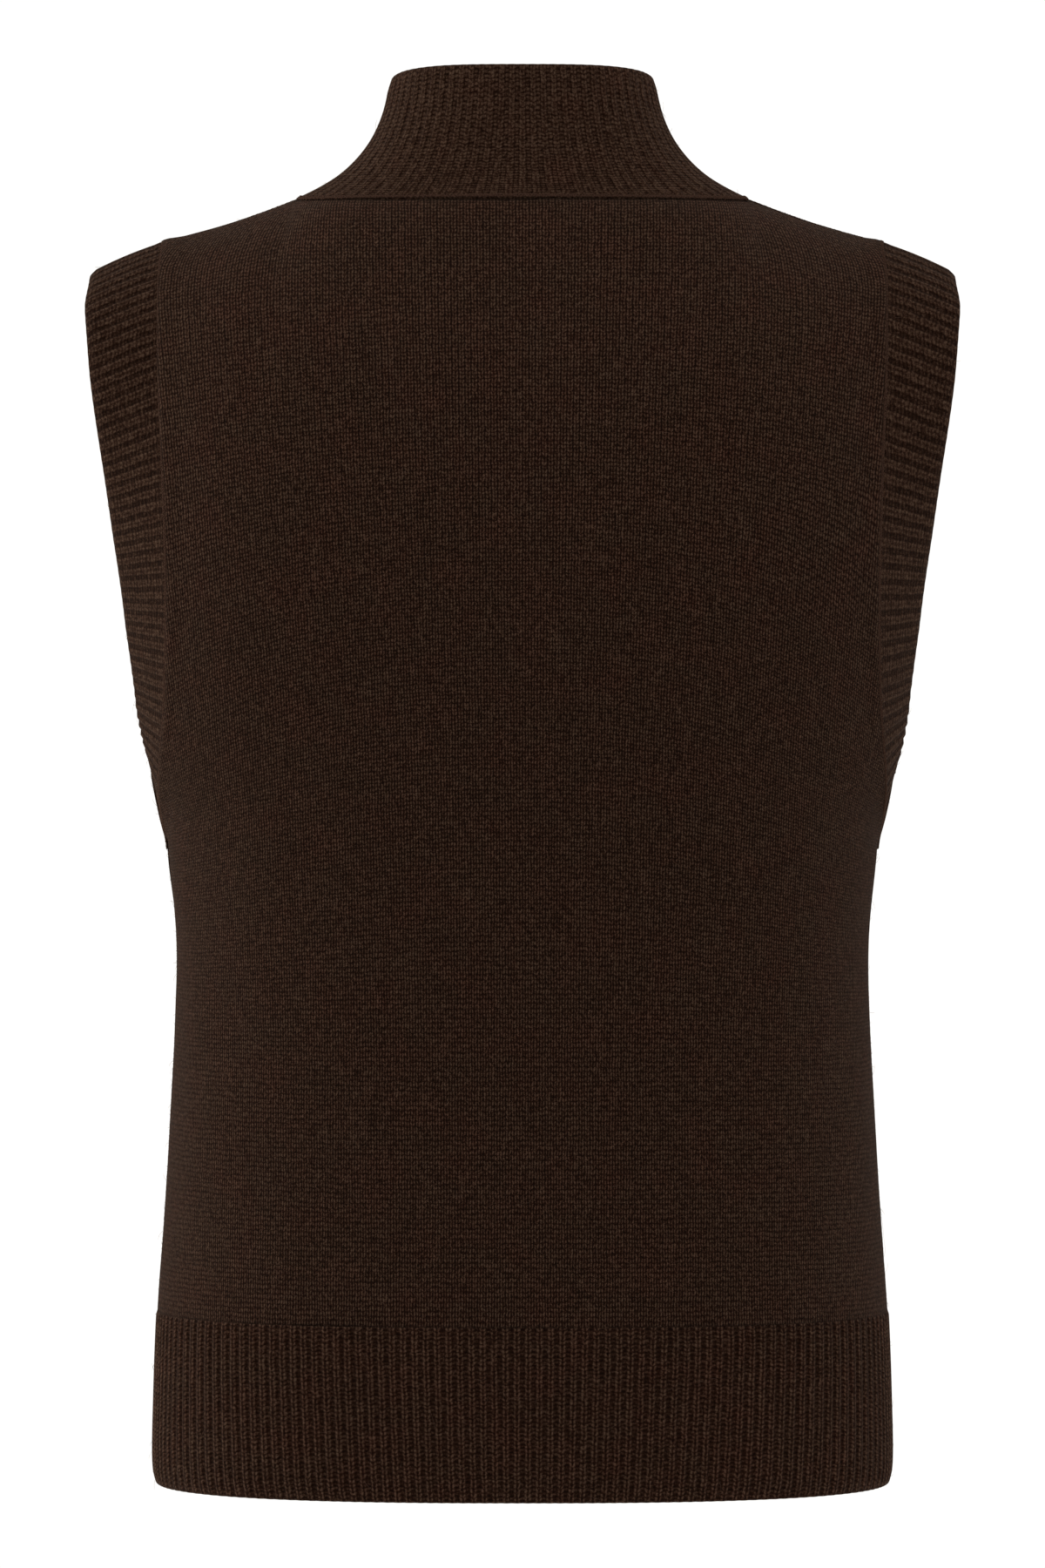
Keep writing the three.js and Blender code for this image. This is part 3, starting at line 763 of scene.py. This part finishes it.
def tube_object(name, lines, radii):
    """Mesh of thin four-sided tubes along lines of points in millimetres."""
    curve = bpy.data.curves.new(name, "CURVE")
    curve.dimensions = "3D"
    curve.bevel_depth = 1.0
    curve.bevel_resolution = 0
    curve.use_fill_caps = True
    for line, radius in zip(lines, radii):
        spline = curve.splines.new("POLY")
        spline.points.add(len(line) - 1)
        places = np.column_stack([line * MILLIMETRE, np.ones(len(line))])
        spline.points.foreach_set("co", places.ravel())
        spline.points.foreach_set("radius", radius * MILLIMETRE)
        spline.use_smooth = True
    holder = linked_object(name + "_lines", curve)
    bpy.context.view_layer.update()
    evaluated = holder.evaluated_get(bpy.context.evaluated_depsgraph_get())
    mesh = bpy.data.meshes.new_from_object(evaluated)
    mesh.name = name
    bm = bmesh.new()
    bm.from_mesh(mesh)
    bmesh.ops.remove_doubles(bm, verts=bm.verts, dist=MILLIMETRE / 1000)
    bm.to_mesh(mesh)
    bm.free()
    bpy.data.objects.remove(holder)
    bpy.data.curves.remove(curve)
    return linked_object(name, mesh)


class Socket:
    """Output of a shader node, which takes part in sums as a number does."""

    def __init__(self, tree, output):
        self.tree = tree
        self.output = output

    def math(self, operation, *others):
        return add_node(self.tree, "Math", (self, *others), operation=operation)

    def __add__(self, other):
        return self.math("ADD", other)

    def __sub__(self, other):
        return self.math("SUBTRACT", other)

    def __rsub__(self, other):
        return add_node(self.tree, "Math", (other, self), operation="SUBTRACT")

    def __mul__(self, other):
        return self.math("MULTIPLY", other)

    def __truediv__(self, other):
        return self.math("DIVIDE", other)

    def __pow__(self, power):
        return self.math("POWER", power)

    def __abs__(self):
        return self.math("ABSOLUTE")

    __radd__ = __add__
    __rmul__ = __mul__

    def fraction(self):
        return self.math("FRACT")

    def sine(self):
        return self.math("SINE")

    def clamped(self, low=0.0, high=1.0):
        return self.math("MAXIMUM", low).math("MINIMUM", high)


def add_node(tree, kind, inputs=(), output=0, **settings):
    """Node with its settings and inputs, given by place or by name; returns an output."""
    node = tree.nodes.new("ShaderNode" + kind)
    for key, value in settings.items():
        setattr(node, key, value)
    named = inputs.items() if isinstance(inputs, dict) else enumerate(inputs)
    for key, value in named:
        if isinstance(value, Socket):
            tree.links.new(value.output, node.inputs[key])
        else:
            node.inputs[key].default_value = value
    return Socket(tree, node.outputs[output])


def add_output(tree, kind, surface):
    """Output node of a material or a world, fed by its surface."""
    tree.links.new(surface.output, tree.nodes.new("ShaderNodeOutput" + kind).inputs[0])


def mix_colours(tree, share, first, second, blend="MIX"):
    """Colour between two others, or the second laid over the first in another way."""
    both = [hue if isinstance(hue, Socket) else (*hue, 1) for hue in (first, second)]
    inputs = {0: share, 6: both[0], 7: both[1]}
    return add_node(tree, "Mix", inputs, output=2, data_type="RGBA", blend_type=blend)


def noise(tree, vector, scale, detail=1.0, roughness=0.5):
    """Noise from 0 to 1 at a place."""
    inputs = {"Vector": vector, "Scale": scale, "Detail": detail, "Roughness": roughness}
    return add_node(tree, "TexNoise", inputs)


def parts_of(tree, vector):
    """The three numbers of a vector."""
    node = tree.nodes.new("ShaderNodeSeparateXYZ")
    tree.links.new(vector.output, node.inputs[0])
    return [Socket(tree, output) for output in node.outputs]


def stitch_legs(away, courses, closed, clear, edge=1.0):
    """Height of a stitch column's two legs: away is 0 in its middle and 0.5 at its edges."""
    side = ((0.5 - away) * 4).clamped() ** 0.7 * edge + (1 - edge)
    middle = 1 - (1 - away * 4).clamped() * closed
    course = ((courses - away * 0.95).fraction() * math.pi).sine() ** 0.6
    return side * middle * (course * clear + (1 - clear))


def rib_height(rib, middle, courses):
    """Height of one by one rib, which is also painted into its colour as light on its crests and
    shade in its gaps, and the light that painted shade leaves in its purl grooves.
    """
    plain = ((rib.knit / 2 - middle) * 14 + 0.5).clamped()
    away = (middle / rib.knit).clamped(0, 0.5)
    legs = stitch_legs(away, courses, rib.clear, rib.clear, RIB_EDGE) * plain
    purl = ((courses + 0.5).fraction() * math.pi).sine() * rib.clear + (1 - rib.clear)
    crest = (1 - middle * 6).clamped() * rib.crest
    height = legs + purl * (1 - plain) * rib.groove + crest
    return height, plain * (1 - rib.groove) + rib.groove


def plain_height(z, middle, courses):
    """Height of plain knitting, whose stitches open where the cloth is stretched."""
    stretched = ((z - STRETCHED_FROM) * STRETCHED_RATE).clamped()
    return stitch_legs(middle, courses, PLAIN_CLOSED - stretched * STRETCHED_LESS, PLAIN_CLEAR)


def wool_surface(tree, colour, bump, roughness, colours):
    """Matt surface with a soft nap, as the material's output."""
    inputs = {
        "Base Color": colour,
        "Normal": bump,
        "Roughness": roughness,
        "Specular IOR Level": WOOL_SHINE,
        "Sheen Weight": colours.sheen,
        "Sheen Roughness": NAP_ROUGHNESS,
        "Sheen Tint": (*colours.sheen_tint, 1),
    }
    add_output(tree, "Material", add_node(tree, "BsdfPrincipled", inputs))


def empty_material(name):
    """Material without nodes, and its node tree."""
    material = bpy.data.materials.new(name)
    material.use_nodes = True
    material.node_tree.nodes.clear()
    return material, material.node_tree


def lightened(by, height, flecks, streaks):
    """Sum of what lightens the yarn at each point: painted light and shade from the knitting's
    height, and the heather's flecks and streaks.
    """
    return height * by.height + flecks * by.flecks + streaks * by.streaks - by.less


def wool_material(name, rib, colours):
    """Heathered wool knitted plain, or in one by one rib whose grooves are purl, with painted light
    on the stitches' tops and painted shade between them and in the purl grooves.
    """
    material, tree = empty_material(name)
    knit = add_node(tree, "UVMap", uv_map="knit")
    place = add_node(tree, "TexCoord", output="Object")
    across, courses, _ = parts_of(tree, knit)
    for kind, where in ((UNEVEN, knit), (JITTER, knit), (FUZZ, place)):
        moved = noise(tree, where, kind.scale) - 0.5
        courses = courses + moved * kind.courses
        across = across + moved * (kind.sway * (RIB_SWAY if rib else 1))
    middle = abs(across.fraction() - 0.5)
    if rib:
        # depth is painted shade that darkens a rib's purl grooves in the colour
        height, depth = rib_height(rib, middle, courses)
        clear, warm_from = rib.clear, rib.warm
    else:
        height, depth = plain_height(parts_of(tree, place)[2], middle, courses), 1
        clear, warm_from = PLAIN_CLEAR, PLAIN_WARM
    # Painted light and shade: the stitches' centred height lightens their tops and darkens the gaps
    # in the colour
    painted_stitch_shading = height - (0.92 - 0.6 * clear)
    flecks, streaks = noise(tree, place, *FLECKS), noise(tree, place, *STREAKS)
    # The yarn's lightness: painted light and shade from the stitches' height, and the heather's
    # flecks and streaks
    light = (lightened(YARN_LIGHT, painted_stitch_shading, flecks, streaks) * depth).clamped()
    # Lighter fibres come out with the flecks and streaks, and on the stitches' tops as a painted
    # highlight
    fibres_and_painted_highlight = (lightened(FIBRE_LIGHT, painted_stitch_shading, flecks, streaks) * 4.0).clamped() * depth
    warm = ((noise(tree, place, *PATCHES) - warm_from) * 3.0).clamped()
    # Painted shade: the colour falls to the gaps' dark colour between stitches and in purl grooves
    colour = mix_colours(tree, light, colours.gap, colours.yarn)
    colour = mix_colours(tree, fibres_and_painted_highlight, colour, colours.fibre)
    hue = mix_colours(tree, warm, colours.cool, colours.warm)
    colour = mix_colours(tree, 1.0, colour, hue, blend="MULTIPLY")
    surface = height + flecks * 0.5
    relief = {"Strength": 1.0, "Distance": colours.relief * MILLIMETRE, "Height": surface}
    bump = add_node(tree, "Bump", relief)
    wool_surface(tree, colour, bump, flecks * 0.12 + 0.84, colours)
    return material


def yarn_material(name, colours, dark, light):
    """Yarn of seams or loose fibres of the same wool, without stitches."""
    material, tree = empty_material(name)
    twist = noise(tree, add_node(tree, "TexCoord", output="Object"), *TWIST)
    colour = mix_colours(tree, ((twist - 0.1) * 2.0).clamped(), dark, light)
    bump = add_node(tree, "Bump", {"Strength": 0.7, "Distance": 0.0002, "Height": twist})
    wool_surface(tree, colour, bump, 0.9, colours)
    return material


def shared_material(cloth):
    """Material of a kind of cloth, made once for all the pieces that show it."""
    name = cloth + "_brown"
    wool = bpy.context.scene.vest_wool
    if name in bpy.data.materials:
        return bpy.data.materials[name]
    if cloth == "linking_yarn":
        # Linking yarn: its lighter end is a painted highlight, and its darker twists take the gaps'
        # painted shade colour
        share = LINKING_HIGHLIGHT
        light = [yarn * (1 - share) + fibre * share for yarn, fibre in zip(wool.yarn, wool.fibre)]
        return yarn_material(name, wool, wool.gap, light)
    if cloth == "loose_fibre":
        return yarn_material(name, wool, wool.yarn, wool.fibre)
    return wool_material(name, RIBS.get(cloth), wool)


def finish_piece(made, cloth, node=None):
    """Gives a piece its material, its place on the body and the solid that it replaces."""
    made.data.materials.clear()
    made.data.materials.append(shared_material(cloth))
    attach(made, "root")
    if node:
        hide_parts(node)


def finish_sheet(made, cloth, node, form):
    """Finishes a piece that hangs or is stretched, and works out the size of its flat cut, which is
    not kept.
    """
    finish_piece(made, cloth, node)
    flat, area = cut_size(form)


def add_rib(name, form, kind, node):
    """Ribbed piece in place of its solid."""
    finish_sheet(rib_object(name, form, RIBS[kind]), kind, node, form)


def seam_lines():
    """Line, outward directions and kind of chain of each linked seam."""
    collar = collar_form()
    base, out = collar["grid"][0], collar["out"][0]
    up = unit(collar["grid"][1] - base)
    over = out * lip_height(out, RIBS["collar_rib"])[:, None]
    seams = [(base + up * NECK_CHAIN_RISE + over, out, NECK_CHAIN)]
    back, keys = PANELS["back"], ("grid", "out")
    for side, column, shoulder in (
        ("left", 0, slice(0, FIRST_NECK_COLUMN + 1)),
        ("right", LAST_COLUMN, slice(LAST_COLUMN - FIRST_NECK_COLUMN, None)),
    ):
        halves = [armhole_halves(side, key) for key in keys]
        armhole = [np.concatenate([rising, falling[1:]]) for rising, falling in halves]
        seams.append((*armhole, BAND_CHAIN))
        seams.append((*(back[key][: UNDERARM_ROW + 1, column] for key in keys), SEAM_CHAIN))
        seams.append((*(back[key][-1, shoulder] for key in keys), SEAM_CHAIN))
    return seams


def fibre_lines(choice):
    """Loose fibres over all the cloth, of which a few on each piece are long hairs."""
    rng = np.random.default_rng(choice.seed)
    pieces = [(PANELS[side], PANEL_LIFT, 1) for side in ("back", "front")]
    pieces += [(hem_form(side), HEM_LIFT, 1) for side in ("back", "front")]
    rings = [collar_form(), band_form("left"), band_form("right")]
    pieces += [(ring, RING_LIFT, RING_FIBRES) for ring in rings]
    sizes = np.array([cut_size(form)[1] * more for form, _, more in pieces])
    counts = np.rint(choice.count * sizes / sizes.sum()).astype(int)
    lines = []
    for (form, lift, _), count in zip(pieces, counts):
        grid, out = form["grid"], form["out"]
        rows = rng.integers(1, grid.shape[0] - 1, count)
        columns = rng.integers(0, grid.shape[1], count)
        start, normal = grid[rows, columns], out[rows, columns]
        along = unit(np.cross(normal, rng.normal(size=(count, 3))))
        turn = unit(np.cross(normal, along))
        size = rng.uniform(*FIBRE_LENGTHS, count)[:, None] * choice.length / MILLIMETRE
        stand = rng.uniform(*FIBRE_STAND, count)[:, None]
        curl = rng.normal(size=(count, 1)) * FIBRE_CURL
        size[: choice.hairs] *= HAIR_LENGTH
        stand[: choice.hairs] *= HAIR_STAND
        steps = []
        for t in np.linspace(0, 1, len(FIBRE_RADII)):
            rise = normal * (lift + size * stand * t * (1.25 - 0.6 * t))
            steps.append(start + rise + along * size * t + turn * size * curl * t * t)
        lines += [*np.stack(steps, axis=1)]
    return lines


def colour_setting(name, description, default):
    """Colour that is set in the panel."""
    return FloatVectorProperty(name=name, description=description, subtype="COLOR", default=default)


def length_setting(name, description, default):
    """Length that is set in the panel."""
    return FloatProperty(name=name, description=description, unit="LENGTH", default=default)


class VestWool(bpy.types.PropertyGroup):
    """Colours and nap of the wool."""

    yarn: colour_setting("Yarn", "Colour of the top of a stitch", (0.051, 0.0204, 0.0119))
    # Painted shade: the gaps' dark colour stands in for the shade that falls between stitches
    gap: colour_setting("Gaps", "Colour between stitches", (0.008, 0.0026, 0.0011))
    fibre: colour_setting("Fibres", "Colour of the lighter fibres", (0.125, 0.075, 0.053))
    warm: colour_setting("Warm patches", "Tint of the redder patches", (1.0, 0.86, 0.8))
    cool: colour_setting("Cool patches", "Tint of the greyer patches", (0.9, 0.9, 0.83))
    sheen: FloatProperty(
        name="Nap", description="How much light the nap catches", default=0.08, min=0, max=1
    )
    sheen_tint: colour_setting("Nap colour", "Colour of the nap", (0.72, 0.5, 0.37))
    relief: FloatProperty(
        name="Stitch relief", description="In millimetres", default=0.55, min=0, max=2
    )


class VestFibres(bpy.types.PropertyGroup):
    """Loose fibres on the cloth."""

    count: IntProperty(
        name="Count", description="Number of loose fibres", default=2400, min=0, max=6000
    )
    length: length_setting("Length", "Longest loose fibre", 0.0055)
    hairs: IntProperty(
        name="Hairs", description="Number of them that are long, on each piece", default=3, min=0
    )
    seed: IntProperty(name="Seed", description="Order of the loose fibres", default=3)


class VestStage(bpy.types.PropertyGroup):
    """Camera, lights and floor."""

    distance: length_setting("Camera distance", "Behind the vest", 5.5)
    height: length_setting("Camera height", "From the neck", -0.06)
    aim: length_setting("Aim height", "Height it looks at", -0.2757)
    lens: FloatProperty(
        name="Lens", description="Focal length", default=271.1, subtype="DISTANCE_CAMERA"
    )
    floor: length_setting("Floor", "Height of the floor", -1.4)
    around: FloatProperty(
        name="Light all round", description="Strength of the studio's light", default=0.55
    )


class VEST_OT_panels(bpy.types.Operator):
    """Knit the plain back and front"""

    bl_idname = "vest.panels"
    bl_label = "Knit the panels"

    def execute(self, context):
        for side in ("back", "front"):
            made, node = panel_object(side), side + "_panel"
            finish_sheet(made, "plain_knit", node, PANELS[side])
        return {"FINISHED"}


class VEST_OT_hems(bpy.types.Operator):
    """Knit the hem rib below each panel"""

    bl_idname = "vest.hems"
    bl_label = "Knit the hem ribs"

    def execute(self, context):
        for side in ("back", "front"):
            name, node = "hem_" + side + "_knit", "hem_rib_" + side
            add_rib(name, hem_form(side), "hem_rib", node)
        return {"FINISHED"}


class VEST_OT_collar(bpy.types.Operator):
    """Knit the high rib collar"""

    bl_idname = "vest.collar"
    bl_label = "Knit the collar"

    def execute(self, context):
        add_rib("collar_knit", collar_form(), "collar_rib", "collar_rib")
        return {"FINISHED"}


class VEST_OT_bands(bpy.types.Operator):
    """Knit the rib bands round the armholes"""

    bl_idname = "vest.bands"
    bl_label = "Knit the armhole bands"

    def execute(self, context):
        for side in ("left", "right"):
            name, node = "band_" + side + "_knit", "armhole_rib_" + side
            add_rib(name, band_form(side), "band_rib", node)
        return {"FINISHED"}


class VEST_OT_seams(bpy.types.Operator):
    """Link the pieces together with chains of stitches"""

    bl_idname = "vest.seams"
    bl_label = "Link the seams"

    def execute(self, context):
        lines, radii = [], []
        for line, out, chain in seam_lines():
            for strand in chain_lines(line, out, chain):
                lines.append(strand)
                radii.append(np.full(len(strand), chain.yarn))
        made = tube_object("linked_seams", lines, radii)
        finish_piece(made, "linking_yarn")
        return {"FINISHED"}


class VEST_OT_fibres(bpy.types.Operator):
    """Scatter loose fibres over the cloth"""

    bl_idname = "vest.fibres"
    bl_label = "Scatter loose fibres"

    def execute(self, context):
        lines = fibre_lines(context.scene.vest_fibres)
        made = tube_object("loose_fibres", lines, [np.array(FIBRE_RADII)] * len(lines))
        finish_piece(made, "loose_fibre")
        return {"FINISHED"}


def aim_at(item, target):
    """Turns a lamp or the camera to a point."""
    item.rotation_mode = "QUATERNION"
    item.rotation_quaternion = (Vector(target) - item.location).to_track_quat("-Z", "Y")


def add_floor(height):
    """Wide pale floor far below the vest."""
    bm = bmesh.new()
    bmesh.ops.create_circle(bm, cap_ends=True, segments=96, radius=6)
    bmesh.ops.translate(bm, verts=bm.verts, vec=(0, 0, height))
    mesh = bpy.data.meshes.new("floor")
    bm.to_mesh(mesh)
    bm.free()
    paint = bpy.data.materials.new("pale_floor")
    paint.use_nodes = True
    shader = paint.node_tree.nodes["Principled BSDF"]
    shader.inputs["Base Color"].default_value = (0.86, 0.86, 0.85, 1)
    shader.inputs["Roughness"].default_value = 0.8
    mesh.materials.append(paint)
    linked_object("floor", mesh)


def add_studio(around):
    """World that the camera sees as white and that lights the vest evenly."""
    world = bpy.data.worlds.new("studio")
    world.use_nodes = True
    tree = world.node_tree
    tree.nodes.clear()
    seen = add_node(tree, "LightPath", output="Is Camera Ray")
    strength = seen * (BACKDROP_STRENGTH - around) + around
    inputs = {"Color": (1, 0.985, 0.965, 1), "Strength": strength}
    add_output(tree, "World", add_node(tree, "Background", inputs))
    bpy.context.scene.world = world


def add_lamp(lamp):
    """Square lamp that the camera doesn't see."""
    data = bpy.data.lights.new(lamp.name, "AREA")
    data.shape = "SQUARE"
    data.size, data.energy, data.color = lamp.size, lamp.power, lamp.colour
    light = linked_object(lamp.name, data)
    light.location = lamp.place
    light.visible_camera = False
    aim_at(light, LAMP_AIM)


def add_camera(stage):
    """Camera with a long lens, behind the vest."""
    view = bpy.data.cameras.new("camera")
    view.lens = stage.lens
    view.sensor_fit = "AUTO"
    view.sensor_width = 36
    view.clip_start, view.clip_end = 0.1, 60
    camera = linked_object("camera", view)
    camera.location = (0, stage.distance, stage.height)
    aim_at(camera, (0, 0, stage.aim))
    bpy.context.scene.camera = camera


class VEST_OT_stage(bpy.types.Operator):
    """Set the floor, the soft lights and the camera"""

    bl_idname = "vest.stage"
    bl_label = "Set the stage"

    def execute(self, context):
        stage = context.scene.vest_stage
        add_floor(stage.floor)
        add_studio(stage.around)
        context.scene.view_settings.view_transform = "Standard"
        for lamp in LAMPS:
            add_lamp(lamp)
        add_camera(stage)
        return {"FINISHED"}


STEPS = (
    VEST_OT_panels,
    VEST_OT_hems,
    VEST_OT_collar,
    VEST_OT_bands,
    VEST_OT_seams,
    VEST_OT_fibres,
    VEST_OT_stage,
)


class VEST_PT_tools(bpy.types.Panel):
    """Vest's sizes, colours and steps"""

    bl_label = "Knitted vest"
    bl_idname = "VEST_PT_tools"
    bl_space_type = "VIEW_3D"
    bl_region_type = "UI"
    bl_category = "Vest"

    def draw(self, context):
        for group in GROUPS:
            box = self.layout.box()
            held = getattr(context.scene, GROUPS[group])
            for key in group.__annotations__:
                box.prop(held, key)
        for step in STEPS:
            self.layout.operator(step.bl_idname)


GROUPS = {VestWool: "vest_wool", VestFibres: "vest_fibres", VestStage: "vest_stage"}


def register():
    for group, name in GROUPS.items():
        bpy.utils.register_class(group)
        setattr(bpy.types.Scene, name, PointerProperty(type=group))
    for item in (*STEPS, VEST_PT_tools):
        bpy.utils.register_class(item)


def unregister():
    for item in (VEST_PT_tools, *reversed(STEPS)):
        bpy.utils.unregister_class(item)
    for group, name in GROUPS.items():
        delattr(bpy.types.Scene, name)
        bpy.utils.unregister_class(group)


def main():
    register()
    for step in STEPS:
        group, name = step.bl_idname.split(".")
        getattr(getattr(bpy.ops, group), name)()


if __name__ == "__main__":
    main()
